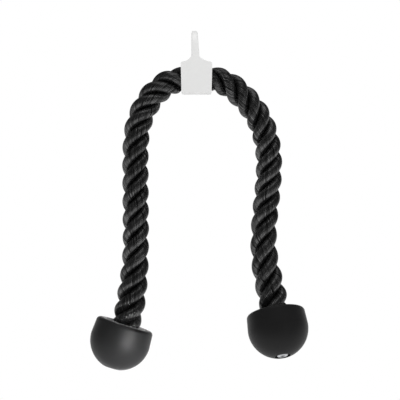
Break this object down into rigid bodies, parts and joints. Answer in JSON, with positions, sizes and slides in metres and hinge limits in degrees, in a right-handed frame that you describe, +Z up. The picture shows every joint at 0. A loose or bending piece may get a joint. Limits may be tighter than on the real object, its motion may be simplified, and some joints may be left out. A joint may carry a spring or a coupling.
{
  "type": "triceps rope attachment",
  "caption": "Laid gym rope through a cast metal connector with an eye, its legs hanging down to rubber stoppers, for a cable machine.",
  "frame": {"origin": "middle of the hole in the connector's eye, where the carabiner hangs it", "axes": "+X along the collar's bore to the right as seen from the front, +Y to the back, +Z up; the legs hang towards -Z"},
  "size_m": [0.2501, 0.0866, 0.3903],
  "materials": {
    "nickel": "satin nickel plate on a cast connector",
    "zinc": "bright zinc plate",
    "rope": "black polypropylene fibre with a satin sheen",
    "rubber": "matte moulded black rubber"
  },
  "bodies": {
    "connector": {"connector": "nickel", "rope_lock_screw": "zinc", "collar_strand_1": "rope", "collar_strand_2": "rope", "collar_strand_3": "rope"},
    "left_neck": {"left_neck_strand_1": "rope", "left_neck_strand_2": "rope", "left_neck_strand_3": "rope"},
    "left_leg": {"left_leg_strand_1": "rope", "left_leg_strand_2": "rope", "left_leg_strand_3": "rope", "left_stopper": "rubber", "left_rope_end_cup": "zinc", "left_end_washer": "zinc", "left_end_screw": "zinc"},
    "right_neck": {"right_neck_strand_1": "rope", "right_neck_strand_2": "rope", "right_neck_strand_3": "rope"},
    "right_leg": {"right_leg_strand_1": "rope", "right_leg_strand_2": "rope", "right_leg_strand_3": "rope", "right_stopper": "rubber", "right_rope_end_cup": "zinc", "right_end_washer": "zinc", "right_end_screw": "zinc"}
  },
  "joints": [
    {"name": "left_leg_swing", "type": "hinge", "parent": "connector", "child": "left_neck", "pos_m": [-0.0155, 0, -0.0374], "axis": [1, 0, 0], "range_deg": [-40, 40], "stiffness_Nm_per_rad": 5},
    {"name": "left_leg_spread", "type": "hinge", "parent": "left_neck", "child": "left_leg", "pos_m": [-0.0179, 0, -0.03806], "axis": [0, 1, 0], "range_deg": [-8, 35], "stiffness_Nm_per_rad": 5, "springref_deg": 1.78},
    {"name": "right_leg_swing", "type": "hinge", "parent": "connector", "child": "right_neck", "pos_m": [0.0197, 0, -0.0374], "axis": [1, 0, 0], "range_deg": [-40, 40], "stiffness_Nm_per_rad": 5, "springref_deg": -0.42},
    {"name": "right_leg_spread", "type": "hinge", "parent": "right_neck", "child": "right_leg", "pos_m": [0.02205, 0, -0.03795], "axis": [0, -1, 0], "range_deg": [-8, 35], "stiffness_Nm_per_rad": 5, "springref_deg": 1.78}
  ]
}
